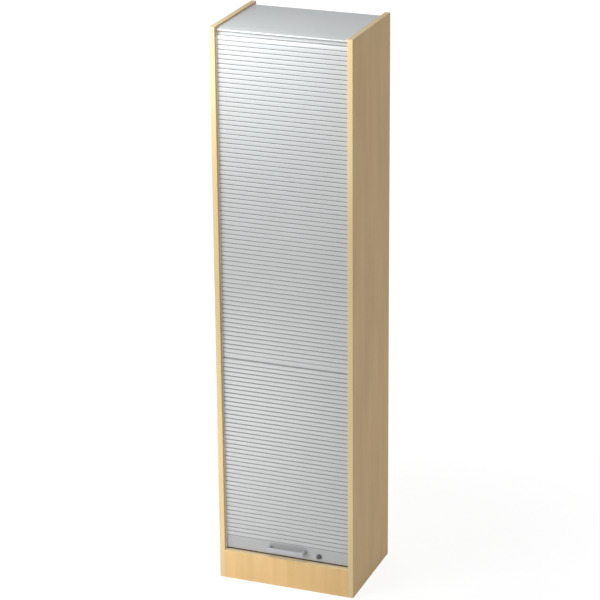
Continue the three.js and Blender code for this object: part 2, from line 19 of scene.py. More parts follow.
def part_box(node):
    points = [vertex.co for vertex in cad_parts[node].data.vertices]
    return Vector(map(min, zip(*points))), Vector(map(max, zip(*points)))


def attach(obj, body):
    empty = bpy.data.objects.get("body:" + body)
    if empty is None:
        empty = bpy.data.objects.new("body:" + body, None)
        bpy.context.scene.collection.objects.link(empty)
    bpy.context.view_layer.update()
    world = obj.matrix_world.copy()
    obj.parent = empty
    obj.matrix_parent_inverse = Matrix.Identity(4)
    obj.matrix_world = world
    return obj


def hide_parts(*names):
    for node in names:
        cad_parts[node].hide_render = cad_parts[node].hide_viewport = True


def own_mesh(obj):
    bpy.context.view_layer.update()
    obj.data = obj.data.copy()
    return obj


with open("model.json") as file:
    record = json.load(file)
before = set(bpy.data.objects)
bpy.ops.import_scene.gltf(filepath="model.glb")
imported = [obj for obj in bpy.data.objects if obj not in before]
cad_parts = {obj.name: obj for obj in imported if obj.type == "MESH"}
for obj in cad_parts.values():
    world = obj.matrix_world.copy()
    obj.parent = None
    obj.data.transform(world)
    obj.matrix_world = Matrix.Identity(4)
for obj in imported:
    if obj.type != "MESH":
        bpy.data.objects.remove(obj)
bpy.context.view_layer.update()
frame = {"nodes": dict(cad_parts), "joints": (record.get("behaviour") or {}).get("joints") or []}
nodes = frame["nodes"]
scene = bpy.context.scene
print("CAD nodes:", len(nodes))

# %% [markdown]
# ## Sizes
#
# Blender works in metres here, but a furniture maker thinks in millimetres, so the drawing's
# sizes below are in millimetres and `MM` turns them into metres. Depth is counted from the front
# edges of the side panels, as on the drawing, and height from the floor.

# %% Sizes of the curtain and its track
MM = 0.001
front_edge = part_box("front_edge_left")[0].y / MM

slat_pitch = 16.0
slat_half_length = 238.5
lower_slats = 41
upper_slats = 69
loop_slats = 22
tail_slats = 3

rail_top = 160.0
joint_bottom = rail_top + lower_slats * slat_pitch
joint_top = 854.0
loop_start = joint_top + upper_slats * slat_pitch
tail_start = loop_start + loop_slats * slat_pitch

front_run = 20.0
back_run = 332.0
top_run = 1988.0
bend_radius = 28.0


def place(x, depth, height):
    """A point of the drawing, in metres in the shared frame."""
    return Vector((x, front_edge + depth, height)) * MM


# %% [markdown]
# ## The camera
#
# The camera stands to the right of the cabinet and above it, almost nine metres away, and looks
# down at it through a long lens. Its place came from fitting the straight edges of the cabinet.
# We write the three axes of the camera from its bearing, its height and a small roll, and put
# them in a matrix, because that needs no aiming helper.

# %% Camera
def add_object(name, data):
    """A new object in the scene."""
    made = bpy.data.objects.new(name, data)
    scene.collection.objects.link(made)
    return made


camera = add_object("camera", bpy.data.cameras.new("camera"))
scene.camera = camera
camera.data.lens = 152.72
camera.data.sensor_width = 36.0
camera.data.clip_end = 60.0

bearing = math.radians(21.065)
height_angle = math.radians(20.914)
roll = math.radians(-0.492)
camera_place = (2.9286, -7.6247, 4.1366)

backwards = Vector((
    math.sin(bearing) * math.cos(height_angle),
    -math.cos(bearing) * math.cos(height_angle),
    math.sin(height_angle),
))
level_right = (-backwards).cross(Vector((0, 0, 1))).normalized()
level_up = level_right.cross(-backwards)
right = math.cos(roll) * level_right + math.sin(roll) * level_up
upwards = math.cos(roll) * level_up - math.sin(roll) * level_right
turn = Matrix((right, upwards, backwards)).transposed().to_4x4()
camera.matrix_world = Matrix.Translation(camera_place) @ turn

# %% [markdown]
# ## Writing node trees as sums
#
# Materials and Geometry Nodes are both trees of nodes. Wiring them line by line hides what they
# work out. The class below wraps one output socket and gives it the signs of arithmetic, so that
# `0.5 + 0.2 * noise` adds its own Math nodes. `Graph.node` makes any other node: its settings
# are set first, and then its sockets get values or links.

# %% Sockets that can be added and multiplied
class Value:
    """One output of a node. Arithmetic on it adds Math nodes to its tree."""

    def __init__(self, graph, socket):
        self.graph = graph
        self.socket = socket

    def other(self, name):
        """Another output of the same node."""
        return Value(self.graph, self.socket.node.outputs[name])

    def maths(self, operation, second):
        return self.graph.node("ShaderNodeMath", {"operation": operation}, {0: self, 1: second})

    def __add__(self, other):
        return self.maths("ADD", other)

    def __sub__(self, other):
        return self.maths("SUBTRACT", other)

    def __mul__(self, other):
        return self.maths("MULTIPLY", other)

    def __neg__(self):
        return self.maths("MULTIPLY", -1.0)

    def __gt__(self, other):
        return self.maths("GREATER_THAN", other)

    def limited(self):
        """The value held between 0 and 1."""
        return self.graph.node("ShaderNodeClamp", sockets={"Value": self})

    def rising(self, start, slope):
        """0 up to the start, then rising with this slope until it is 1."""
        return ((self - start) * slope).limited()

    __radd__ = __add__
    __rmul__ = __mul__


class Graph:
    """A node tree that is filled through node()."""

    def __init__(self, tree):
        self.tree = tree

    def node(self, kind, settings=None, sockets=None, output=0):
        made = self.tree.nodes.new(kind)
        for name, setting in (settings or {}).items():
            setattr(made, name, setting)
        for name, given in (sockets or {}).items():
            self.feed(made, name, given)
        return Value(self, made.outputs[output]) if made.outputs else None

    def feed(self, made, name, given):
        """Gives an input of a node a value or a link."""
        if isinstance(given, Value):
            self.tree.links.new(given.socket, made.inputs[name])
        else:
            made.inputs[name].default_value = given


# %% [markdown]
# ## Finishes
#
# Each finish is one Principled shader. Patterns read Object coordinates, which are metres in the
# shared frame here, because every object sits at the origin. A Mapping node stretches them, so
# its scale is simply "features per metre" along each axis.
#
# `streaks` is the noise used for all of them: wood fibres, drawn metal and extruded plastic are
# all noise that is stretched along one direction.

# %% A finish and its stretched noise
class Finish(Graph):
    """A material with a Principled shader."""

    def __init__(self, name, roughness, metallic=0.0, specular=0.5):
        self.material = bpy.data.materials.new(name)
        self.material.use_nodes = True
        super().__init__(self.material.node_tree)
        self.shader = self.tree.nodes["Principled BSDF"]
        self.place = self.node("ShaderNodeTexCoord").other("Object")
        self.roughness = roughness
        self.give("Specular IOR Level", specular)
        self.give("Roughness", roughness)
        self.give("Metallic", metallic)

    def give(self, name, given):
        self.feed(self.shader, name, given)

    def streaks(self, across, along, direction, detail, shift=0.0):
        """Noise with so many features per metre across and along one axis."""
        per_metre = [across, across, across]
        per_metre["xyz".index(direction)] = along
        stretched = self.node("ShaderNodeMapping", {"vector_type": "POINT"}, {
            "Vector": self.place, "Scale": per_metre, "Location": (shift, shift, shift)})
        return self.node("ShaderNodeTexNoise", {"noise_dimensions": "3D"}, {
            "Vector": stretched, "Scale": 1.0, "Detail": detail, "Roughness": 0.5})

    def mixed(self, share, first, second):
        """A colour between two others."""
        return self.node("ShaderNodeMix", {"data_type": "RGBA"}, {
            0: share, 6: first, 7: second}, output=2)

    def roughen(self, noise, spread):
        """Spreads the roughness round its mean, with a noise."""
        self.give("Roughness", self.roughness - spread / 2 + spread * noise)

    def relief(self, height, depth, strength):
        """Feeds a small relief, in metres, to the shader's normal."""
        self.give("Normal", self.node("ShaderNodeBump", sockets={
            "Height": height, "Distance": depth, "Strength": strength}))


def colour(red, green, blue):
    return (red, green, blue, 1.0)


def toned(tone, factor):
    """A colour made lighter or darker."""
    return colour(*(min(1.0, channel * factor) for channel in tone[:3]))


def varied(*noises):
    """One half, moved up or down by each noise times its weight."""
    return sum(((noise - 0.5) * weight for noise, weight in noises), 0.5)


# %% [markdown]
# ## Maple decor
#
# The boards are faced with printed maple under melamine. Maple is pale and even. What the eye
# sees is, from large to small: soft clouds a hand wide, where the wood turns a little pinker or
# greyer; narrow growth lines along the board; short darker flecks; and fine fibres. Each is one
# stretched noise, and their sum picks a colour between a light and a deep tone. The plinth's top
# edge has a paler band: there the finish changes to a third tone above a given height. This
# tone is partly the band's own paler colour and partly a painted highlight, for the light that
# falls on the edge from above.

# %% Maple, with the grain along any axis
def maple(name, direction, light, deep, roughness, painted_light_above=None):
    """Maple. Above the given height, in metres, it takes a pale edge tone with a painted
    highlight.
    """
    finish = Finish(name, roughness, specular=0.22)
    clouds = finish.streaks(8.0, 2.4, direction, detail=2.0)
    growth = finish.streaks(46.0, 1.6, direction, detail=3.0, shift=7.0)
    fibres = finish.streaks(520.0, 12.0, direction, detail=2.0, shift=3.0)
    flecks = finish.streaks(900.0, 70.0, direction, detail=0.0, shift=5.0).rising(0.66, 9.0)
    depth = (varied((clouds, 1.5), (growth, 1.0), (fibres, 0.6)) + flecks * 0.25).limited()
    blush = finish.streaks(5.0, 3.2, direction, detail=1.0, shift=11.0).rising(0.42, 3.0)
    warm = colour(*(channel * share for channel, share in zip(light, pinker)))
    wood = finish.mixed(depth, finish.mixed(blush, light, warm), deep)
    # Painted highlight: above the given height the wood turns to the pale edge tone.
    if painted_light_above:
        height = finish.node("ShaderNodeSeparateXYZ", sockets={0: finish.place}).other("Z")
        wood = finish.mixed(height > painted_light_above, wood, edge_band_painted_light)
    finish.give("Base Color", wood)
    finish.roughen(fibres, 0.1)
    finish.relief(fibres - 0.5 * flecks, depth=0.00012, strength=0.35)
    return finish.material


pinker = (1.03, 0.955, 0.93)
# A pale edge band's tone, made paler still as a painted highlight for light from above.
edge_band_painted_light = colour(0.850, 0.700, 0.440)
board = {"light": colour(0.800, 0.562, 0.268), "deep": colour(0.685, 0.452, 0.198),
         "roughness": 0.46}
band = {"light": colour(0.765, 0.610, 0.344), "deep": colour(0.685, 0.522, 0.273),
        "roughness": 0.40}
rough_board = {**board, "roughness": 0.60}
plinth_painted_light_from = 0.1055

maple_upright = maple("maple_upright", "z", **board)
maple_across = maple("maple_across", "x", **board)
band_upright = maple("maple_band_upright", "z", **band)
band_deepwise = maple("maple_band_deepwise", "y", **band)
maple_back = maple("maple_back", "z", **rough_board)
maple_plinth = maple("maple_plinth", "z", **board, painted_light_above=plinth_painted_light_from)

# %% [markdown]
# ## Silver finishes
#
# The slats are plastic with a silver skin, the cover is a silver sheet, the rail is anodised
# aluminium and the handle is lacquered. All look like satin metal: a little metallic, fairly
# rough, with very fine lines along the way they were drawn or rolled. The lines change the
# roughness more than the colour, so they show where light glances off. Broad soft clouds in the
# colour are a painted sheen.

# %% Silver, with drawing lines along the cabinet's width
def silver(name, tone, roughness, metallic, lines, relief):
    finish = Finish(name, roughness, metallic, specular=0.35)
    drawn = finish.streaks(lines, 2.5, "x", detail=3.0)
    flakes = finish.streaks(2600.0, 2600.0, "x", detail=0.0, shift=9.0)
    # Painted sheen: broad soft clouds that make the silver lighter or darker.
    painted_sheen = finish.streaks(9.0, 5.0, "z", detail=1.0, shift=2.0)
    share = varied((drawn, 0.9), (flakes, 0.5), (painted_sheen, 0.4)).limited()
    finish.give("Base Color", finish.mixed(share, toned(tone, 0.94), toned(tone, 1.05)))
    finish.roughen(drawn, 0.12)
    finish.relief(drawn, relief, strength=0.3)
    return finish.material


slat_silver = silver("slat_silver", colour(0.512, 0.527, 0.530), 0.42, 0.06, 900.0, 0.00004)
cover_silver = silver("cover_silver", colour(0.572, 0.596, 0.605), 0.40, 0.15, 300.0, 0.00002)
rail_silver = silver("rail_silver", colour(0.425, 0.437, 0.442), 0.36, 0.30, 1400.0, 0.00003)
handle_silver = silver("handle_silver", colour(0.440, 0.446, 0.480), 0.45, 0.10, 1400.0, 0.00002)

# %% [markdown]
# ## Plastic, rubber and steel
#
# The small parts have plain colours on the real cabinet, but no real surface is even. One
# function gives them a mottled tone and roughness and a fine moulded or plated grain.

# %% Moulded, plated and rubber finishes
def small_part(name, tone, roughness, metallic=0.0, grain=1500.0, relief=0.00003):
    finish = Finish(name, roughness, metallic)
    speckle = finish.streaks(grain, grain, "x", detail=2.0)
    wear = finish.streaks(60.0, 60.0, "x", detail=3.0, shift=4.0)
    share = varied((speckle, 0.5), (wear, 1.2)).limited()
    finish.give("Base Color", finish.mixed(share, toned(tone, 0.82), toned(tone, 1.16)))
    finish.roughen(wear, 0.2)
    finish.relief(speckle, relief, strength=0.4)
    return finish.material


track_beige = small_part("track_beige", colour(0.780, 0.755, 0.680), 0.50)
hinge_grey = small_part("hinge_grey", colour(0.120, 0.122, 0.125), 0.60)
# Painted shade: a darker copy of the hinge grey, for the lower half of the curtain.
hinge_dark = small_part("hinge_dark", colour(0.045, 0.046, 0.049), 0.60)
# Mid grey: a painted shade in the joint's seam, and the hinge tone of the slats over the top.
seam_grey = small_part("seam_grey", colour(0.300, 0.307, 0.312), 0.55)
soft_rubber = small_part("soft_rubber", colour(0.045, 0.032, 0.021), 0.80, 0.0, 2500.0, 0.00006)
black_plastic = small_part("black_plastic", colour(0.021, 0.021, 0.025), 0.50)
dark_nickel = small_part("dark_nickel", colour(0.115, 0.115, 0.122), 0.42, 0.25)
zinc_plate = small_part("zinc_plate", colour(0.520, 0.540, 0.560), 0.32, 0.85, 900.0)

# %% [markdown]
# ## Dressing the boards
#
# The boards, edge bands and backs are flat on the real cabinet, so their CAD shapes stay, and
# only their finish is made here. The grain runs up the side panels and the plinth, and across
# the shelves. The thin bands on the panels' top edges have theirs running from front to back.

# %% Give each CAD board its finish
def dress(material, *names):
    for name in names:
        nodes[name].data.materials.clear()
        nodes[name].data.materials.append(material)
        for slot in nodes[name].material_slots:
            slot.link = "OBJECT"
            slot.material = material


dress(maple_upright, "side_panel_left", "side_panel_right", "rear_plinth",
      "plinth_block_left", "plinth_block_right")
dress(maple_plinth, "plinth_panel")
dress(maple_across, "base_board", "top_board", "fixed_shelf", "shelf_1", "shelf_2", "shelf_4")
dress(band_upright, "front_edge_left", "front_edge_right")
dress(band_deepwise, "top_edge_left", "top_edge_right")
dress(maple_back, "inner_back", "outer_back")
dress(soft_rubber, "rail_buffer")
dress(rail_silver, "bottom_rail")

# %% [markdown]
# ## Making pieces
#
# Most new pieces start as an outline in two dimensions that is pushed along one axis. `prism`
# makes such a body with closed ends. Faces are shaded smooth, and edges sharper than a limit are
# marked, so that curves look round and corners stay crisp.

# %% Helpers that make a closed body from an outline
def shade(mesh, sharp_above=32.0):
    """Shades a mesh smooth except at edges sharper than so many degrees."""
    mesh.shade_smooth()
    mesh.set_sharp_from_angle(angle=math.radians(sharp_above))


def finished(name, mesh, material):
    """A shaded object from a mesh, with its finish."""
    mesh.name = name
    shade(mesh)
    if material:
        mesh.materials.clear()
        mesh.materials.append(material)
    return add_object(name, mesh)


def opened(mesh):
    """A mesh, opened for changes."""
    body = bmesh.new()
    body.from_mesh(mesh)
    return body


def kept(body, mesh):
    """Writes the changed body into a mesh."""
    body.to_mesh(mesh)
    body.free()
    return mesh


def skin(body, rings):
    """Faces between each ring of points and the next. A ring may be a single point."""
    for ring, following in zip(rings, rings[1:]):
        count = max(len(ring), len(following))
        for i in range(count):
            after = (i + 1) % count
            corners = [ring[i % len(ring)], ring[after % len(ring)],
                       following[after % len(following)], following[i % len(following)]]
            body.faces.new(list(dict.fromkeys(corners)))


def prism(outline, low, high, to_point):
    """A closed mesh: the outline at two ends, with a face between each pair of its points."""
    body = bmesh.new()
    ends = [[body.verts.new(to_point(u, v, end)) for u, v in outline] for end in (low, high)]
    body.faces.new(ends[0])
    body.faces.new(list(reversed(ends[1])))
    skin(body, ends)
    bmesh.ops.recalc_face_normals(body, faces=body.faces)
    return kept(body, bpy.data.meshes.new("prism"))


def arc(u, v, radius, start, end, steps):
    """Points on a circle round (u, v), between two angles in degrees."""
    angles = [math.radians(start + (end - start) * i / steps) for i in range(steps + 1)]
    return [(u + radius * math.cos(a), v + radius * math.sin(a)) for a in angles]


def apply_modifiers(piece):
    """Turns the result of the modifiers into the object's own mesh."""
    graph = bpy.context.evaluated_depsgraph_get()
    mesh = bpy.data.meshes.new_from_object(piece.evaluated_get(graph), depsgraph=graph)
    piece.modifiers.clear()
    piece.data = mesh
    return piece


def rounded(piece, width, segments, limit=30.0):
    """Rounds the edges of a piece and applies the result."""
    bevel = piece.modifiers.new("bevel", "BEVEL")
    bevel.width = width * MM
    bevel.segments = segments
    bevel.limit_method = "ANGLE"
    bevel.angle_limit = math.radians(limit)
    bevel.miter_outer = "MITER_ARC"
    apply_modifiers(piece)
    shade(piece.data, 45.0)
    return piece


def settle(piece, body, slot, *replaced):
    """Ties a finished piece to its body and hides the nodes it stands for. The slot is not used.
    """
    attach(piece, body)
    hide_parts(*replaced)
    print(piece.name, len(piece.data.polygons), "faces")
    return piece


# %% [markdown]
# ## The path of the curtain
#
# The curtain goes up the front, round a bend, back under the cover, round a second bend and down
# the back. The slats and the track both follow this path, so it is made once, as a Geometry
# Nodes group: four corner points, opened into a line whose two upper corners get a fillet. The
# distance along it from the floor is then the same number as the height, up to the first bend.

# %% Geometry Nodes: a tree with named inputs
def new_tree(name, inputs):
    tree = bpy.data.node_groups.new(name, "GeometryNodeTree")
    tree.interface.new_socket("Geometry", in_out="INPUT", socket_type="NodeSocketGeometry")
    for label, kind in inputs.items():
        tree.interface.new_socket(label, in_out="INPUT", socket_type="NodeSocket" + kind)
    tree.interface.new_socket("Geometry", in_out="OUTPUT", socket_type="NodeSocketGeometry")
    graph = Graph(tree)
    return graph, graph.node("NodeGroupInput")


def run_tree(piece, graph, values):
    """Runs a tree on an object's mesh and keeps the result as a plain mesh."""
    modifier = piece.modifiers.new(graph.tree.name, "NODES")
    modifier.node_group = graph.tree
    for socket in graph.tree.interface.items_tree:
        if socket.in_out == "INPUT" and socket.name in values:
            modifier[socket.identifier] = values[socket.name]
    return apply_modifiers(piece)


def with_finish(graph, geometry, finish):
    """The geometry as a real mesh with one finish."""
    real = graph.node("GeometryNodeRealizeInstances", sockets={0: geometry})
    return graph.node("GeometryNodeSetMaterial", sockets={"Geometry": real, "Material": finish})


def copies_on(graph, points, part, angles):
    """A copy of the part at each point, turned by its angles."""
    turned = graph.node("FunctionNodeEulerToRotation", sockets={0: angles})
    return graph.node("GeometryNodeInstanceOnPoints", sockets={
        "Points": points, "Instance": part, "Rotation": turned})


path_sizes = {
    "Front run": (front_edge + front_run) * MM,
    "Back run": (front_edge + back_run) * MM,
    "Top run": top_run * MM,
    "Bend radius": bend_radius * MM,
}
path_inputs = {label: "Float" for label in path_sizes}
bend_steps = 24

path_graph, path_given = new_tree("curtain_path", path_inputs)


def path_corner(run, height=0.0):
    return path_graph.node("ShaderNodeCombineXYZ", sockets={
        "X": 0.0, "Y": path_given.other(run), "Z": height})


upper_end = path_given.other("Top run")
four_corners = path_graph.node("GeometryNodeCurvePrimitiveQuadrilateral", {"mode": "POINTS"}, {
    "Point 1": path_corner("Front run"), "Point 2": path_corner("Front run", upper_end),
    "Point 3": path_corner("Back run", upper_end), "Point 4": path_corner("Back run")})
open_path = path_graph.node("GeometryNodeSetSplineCyclic", sockets={
    "Geometry": four_corners, "Cyclic": False})
bent_path = path_graph.node("GeometryNodeFilletCurve", {"mode": "POLY"}, {
    "Curve": open_path, "Count": bend_steps, "Radius": path_given.other("Bend radius")})
path_graph.node("NodeGroupOutput", sockets={0: bent_path})


def path_in(graph, given):
    """The curtain's path, inside another tree that has the same four inputs."""
    links = {name: given.other(name) for name in path_inputs}
    return graph.node("GeometryNodeGroup", {"node_tree": path_graph.tree}, links)


# %% [markdown]
# ## One slat
#
# A slat is a strip of plastic, drawn as one body without its hollow. Its face is slightly
# crowned, so that each one catches light at its upper half and shades off below, and its long
# edges are rounded down to a thin hinge. We draw its section once. The faces at the hinge get a
# true/false attribute, so that they can take a darker material than the silver face.

# %% Section of a slat
slat_half_thickness = 3.5
slat_crown = 0.6
slat_shoulder = 1.1
slat_chamfer = 1.0
shoulder_ends_at = 98
hinge_half_width = 1.0
hinge_half_thickness = 0.9
crown_steps = 8


def crown_height(along):
    """How far the face stands out of the slat's middle plane."""
    return slat_half_thickness - slat_crown * ((2 * along / slat_pitch - 1) ** 2)


def slat_section():
    """Points (along the path, outwards) round one slat."""
    shoulder_at = hinge_half_width + slat_shoulder
    shoulder = arc(shoulder_at, crown_height(shoulder_at) - slat_shoulder, slat_shoulder,
                   180, shoulder_ends_at, 3)
    step = (slat_pitch - 2 * shoulder_at) / crown_steps
    crown = [(shoulder_at + step * i, crown_height(shoulder_at + step * i))
             for i in range(1, crown_steps)]
    far_shoulder = [(slat_pitch - t, out) for t, out in reversed(shoulder)]
    face = [*shoulder, *crown, *far_shoulder]
    web = hinge_half_thickness
    back = slat_half_thickness
    edge = slat_pitch - hinge_half_width
    rear = [(edge, -web), (edge - slat_chamfer, -back),
            (hinge_half_width + slat_chamfer, -back), (hinge_half_width, -web)]
    return [(0.0, web), (hinge_half_width, web), *face, (edge, web), (slat_pitch, web),
            (slat_pitch, -web), *rear, (0.0, -web)]


def slat_mesh():
    """A slat centred on the origin, its length along X and its outer face towards -Y."""
    mesh = prism(slat_section(), -slat_half_length, slat_half_length,
                 lambda along, out, x: Vector((x, -out, along - slat_pitch / 2)) * MM)
    hinge = mesh.attributes.new("hinge", "BOOLEAN", "FACE")
    for face in mesh.polygons:
        shallow = max(abs(mesh.vertices[v].co.y) for v in face.vertices)
        hinge.data[face.index].value = shallow < (hinge_half_thickness + 0.01) * MM
    return mesh


# %% [markdown]
# ## A run of slats
#
# The tree below takes one slat as its geometry and puts copies of it on the path. A copy's
# distance along the path is the start of the run plus its number times the pitch. Sample Curve
# gives the place and the direction there, and the angle of that direction turns the copy, so the
# same tree makes the straight front, the run over the top and the tail behind the inner back.

# %% Geometry Nodes: slats along the path
slat_graph, slat_given = new_tree("slats_on_path", {
    **path_inputs, "Pitch": "Float", "Start": "Float", "Count": "Int",
    "Face": "Material", "Hinge": "Material"})

slat_number = slat_graph.node("GeometryNodeInputIndex")
slat_distance = slat_given.other("Start") + (slat_number + 0.5) * slat_given.other("Pitch")
slat_sample = slat_graph.node("GeometryNodeSampleCurve", {"mode": "LENGTH"}, {
    "Curves": path_in(slat_graph, slat_given), "Length": slat_distance}, output="Position")
direction = slat_graph.node("ShaderNodeSeparateXYZ", sockets={0: slat_sample.other("Tangent")})
lean = direction.other("Y").maths("ARCTAN2", direction.other("Z"))
lean_angles = slat_graph.node("ShaderNodeCombineXYZ", sockets={"X": -lean, "Y": 0.0, "Z": 0.0})
slat_points = slat_graph.node("GeometryNodePoints", sockets={
    "Count": slat_given.other("Count"), "Position": slat_sample})
slat_copies = copies_on(slat_graph, slat_points, slat_given.other("Geometry"), lean_angles)
slat_faced = with_finish(slat_graph, slat_copies, slat_given.other("Face"))
at_hinge = slat_graph.node("GeometryNodeInputNamedAttribute", {"data_type": "BOOLEAN"}, {
    "Name": "hinge"})
slat_graph.node("NodeGroupOutput", sockets={0: slat_graph.node("GeometryNodeSetMaterial", sockets={
    "Geometry": slat_faced, "Selection": at_hinge, "Material": slat_given.other("Hinge")})})


def slat_run(name, start, count, hinge=hinge_grey):
    piece = finished(name, slat_mesh(), None)
    return run_tree(piece, slat_graph, {
        **path_sizes, "Pitch": slat_pitch * MM, "Start": start * MM, "Count": count,
        "Face": slat_silver, "Hinge": hinge})


# %% [markdown]
# While the curtain opens, the slats in front travel over the top. A rigid model can't feed them
# round the bend. The share of its height that each front piece would keep at the open end, the
# share that the rail leaves under the bend, is worked out and printed; `closes_up` gives each
# front piece a mesh of its own.
#
# The lines between the lower slats have a painted shade: a darker hinge grey than those above
# the joint, because the lamp for the lower half shines straight into the gaps and would make
# them too pale.

# %% The four runs
lift = next(joint for joint in frame["joints"] if joint["name"] == "shutter_lift")
closing = dict(axis=(0, 0, 1), anchor=(0, 0, loop_start * MM),
               keep=1 - lift["range_m"][1] / ((loop_start - rail_top) * MM))


def closes_up(piece):
    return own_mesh(piece)


# The lower slats' hinges take the painted shade.
closes_up(settle(slat_run("slats_lower", rail_top, lower_slats, hinge_dark),
                 "carcass", "silver_slat", "curtain_lower"))
closes_up(settle(slat_run("slats_upper", joint_top, upper_slats),
                 "carcass", "silver_slat", "curtain_upper"))
settle(slat_run("slats_over_top", loop_start, loop_slats, seam_grey),
       "carcass", "silver_slat", "curtain_loop")
settle(slat_run("slats_tail", tail_start, tail_slats),
       "curtain_end", "silver_slat", "curtain_tail")
print("share kept when open:", round(closing["keep"], 5))

# %% [markdown]
# ## The joint profile
#
# About two fifths of the way up, two wider profiles hook into each other and join the two halves
# of the curtain. In front they show as a plain band with a soft seam in its middle: the upper
# profile ends in a rounded nose that hangs over the lower one. The band is one outline pushed
# along the width. The faces in the seam take a mid grey instead of silver, a painted shade for
# the shadow under the nose.

# %% Joint profile
joint_middle = (joint_bottom + joint_top) / 2
joint_hinge = 0.8
joint_corner = 1.6
joint_chamfer = 1.8
seam_depth = 2.2
ledge_end = joint_middle - 3.8
ledge_radius = 1.4
nose_tip = joint_middle + 1.6
nose_length = 3.2


def joint_section():
    """Points (height, outwards) round the pair of profiles."""
    web = hinge_half_thickness
    out = slat_half_thickness
    floor = out - seam_depth
    inset = joint_hinge + joint_corner
    low_corner = arc(joint_bottom + inset, out - joint_corner, joint_corner, 180, 90, 5)
    ledge = arc(ledge_end - ledge_radius, out - ledge_radius, ledge_radius, 90, 0, 6)
    nose = [(nose_tip + nose_length * (1 + u), floor + seam_depth * v)
            for u, v in arc(0.0, 0.0, 1.0, 180, 90, 10)]
    high_corner = arc(joint_top - inset, out - joint_corner, joint_corner, 90, 0, 5)
    front_line = [(joint_bottom, web), (joint_bottom + joint_hinge, web), *low_corner, *ledge,
                  (ledge_end, floor), *nose,
                  *high_corner, (joint_top - joint_hinge, web), (joint_top, web)]
    return [*front_line, (joint_top, -web), (joint_top - joint_chamfer, -out),
            (joint_bottom + joint_chamfer, -out), (joint_bottom, -web)]


joint_mesh = prism(joint_section(), -slat_half_length, slat_half_length,
                   lambda height, out, x: place(x, front_run - out, height))
joint_band = finished("joint_band", joint_mesh, slat_silver)
# Painted shade: the faces between the ledge and the nose take the mid grey.
joint_mesh.materials.append(seam_grey)
seam_low = ledge_end - 0.2
seam_high = nose_tip + 0.4
for face in joint_mesh.polygons:
    heights = [joint_mesh.vertices[corner].co.z / MM for corner in face.vertices]
    if seam_low < min(heights) and max(heights) < seam_high:
        face.material_index = 1
closes_up(settle(joint_band, "carcass", "silver_slat", "joint_profile"))

# %% [markdown]
# ## The tracks
#
# A track is a plastic channel that is bent to the curtain's path and let into the side panel.
# Curve to Mesh pushes its U-shaped section along the path. Both lips of the U end in a half
# circle and stand a little out of the panel, so that they hide the edges of its groove.

# %% Geometry Nodes: a section pushed along the path
track_graph, track_given = new_tree("track_on_path", {
    **path_inputs, "From": "Float", "To": "Float", "Finish": "Material"})
track_line = track_graph.node("GeometryNodeTrimCurve", {"mode": "LENGTH"}, {
    0: path_in(track_graph, track_given), 4: track_given.other("From"),
    5: track_given.other("To")})
track_steady = track_graph.node("GeometryNodeSetCurveNormal", {"mode": "FREE"}, {
    "Curve": track_line, "Normal": (1.0, 0.0, 0.0)})
track_section = track_graph.node("GeometryNodeMeshToCurve", sockets={
    "Mesh": track_given.other("Geometry")})
track_body = track_graph.node("GeometryNodeCurveToMesh", sockets={
    "Curve": track_steady, "Profile Curve": track_section, "Fill Caps": True})
track_graph.node("NodeGroupOutput", sockets={
    0: with_finish(track_graph, track_body, track_given.other("Finish"))})

track_foot = 106.3
track_back_end = 60.0
track_inside = 4.2
track_outside = 6.5
track_lip_x = 229.0
track_web_x = 239.0
track_floor_x = 241.0


def track_outline(side):
    """Points (x, outwards) round the U of one track."""
    wall = track_outside - track_inside
    middle = (track_outside + track_inside) / 2
    tip = arc(track_lip_x + wall / 2, middle, wall / 2, 90, 270, 6)
    outer = [(track_floor_x, track_outside), *tip, (track_web_x, track_inside)]
    inner = [(x, -out) for x, out in reversed(outer)]
    return [(side * x, out) for x, out in [*outer, *inner]]


def track(name, side):
    section = bpy.data.meshes.new(name)
    points = track_outline(side)
    count = len(points)
    section.from_pydata([(x * MM, out * MM, 0.0) for x, out in points],
                        [(i, (i + 1) % count) for i in range(count)], [])
    piece = add_object(name, section)
    around = math.pi * bend_radius + back_run - front_run - 2 * bend_radius
    to_end = 2 * (top_run - bend_radius) + around - track_back_end
    run_tree(piece, track_graph, {
        **path_sizes, "From": track_foot * MM, "To": to_end * MM, "Finish": track_beige})
    body = opened(piece.data)
    bmesh.ops.remove_doubles(body, verts=body.verts, dist=1e-6)
    bmesh.ops.recalc_face_normals(body, faces=body.faces)
    shade(kept(body, piece.data), 40.0)
    return piece


for side, label in ((-1, "left"), (1, "right")):
    settle(track("channel_" + label, side), "carcass", "track_plastic", "track_" + label)

# %% [markdown]
# ## The top cover
#
# The cover is a silver sheet that lies between the side panels. Its front is turned down to a
# narrow lip and rises behind it in a soft crown, which is what catches the light above the
# curtain. The crown is a parabola that starts where the lip's round nose ends and levels out at
# the flat part. The same line, drawn once more a sheet's thickness further in, closes the
# section, so the sheet is as thick in its bend as it is elsewhere.

# %% Section of the cover
cover_front = 16.5
cover_rear = 345.0
cover_top = 1998.0
cover_thickness = 2.0
nose_height = 8.5
nose_radius = 3.5
crown_drop = 3.0
crown_length = 42.0
cover_steps = 24
crown_angle = math.atan(2 * crown_drop / crown_length)
crown_start = cover_front + nose_radius * (1 - math.sin(crown_angle))
crown_end = crown_start + crown_length


def cover_line(inset):
    """The sheet's face from the lip over the nose and the crown, or the line behind it."""
    middle = cover_top - crown_drop - nose_radius * math.cos(crown_angle)
    nose = arc(cover_front + nose_radius, middle, nose_radius - inset,
               180, 90 + math.degrees(crown_angle), 10)
    shares = [i / cover_steps for i in range(1, cover_steps + 1)]
    return [*nose, *[(crown_start + crown_length * share,
                      cover_top - inset - crown_drop * (1 - share) ** 2) for share in shares]]


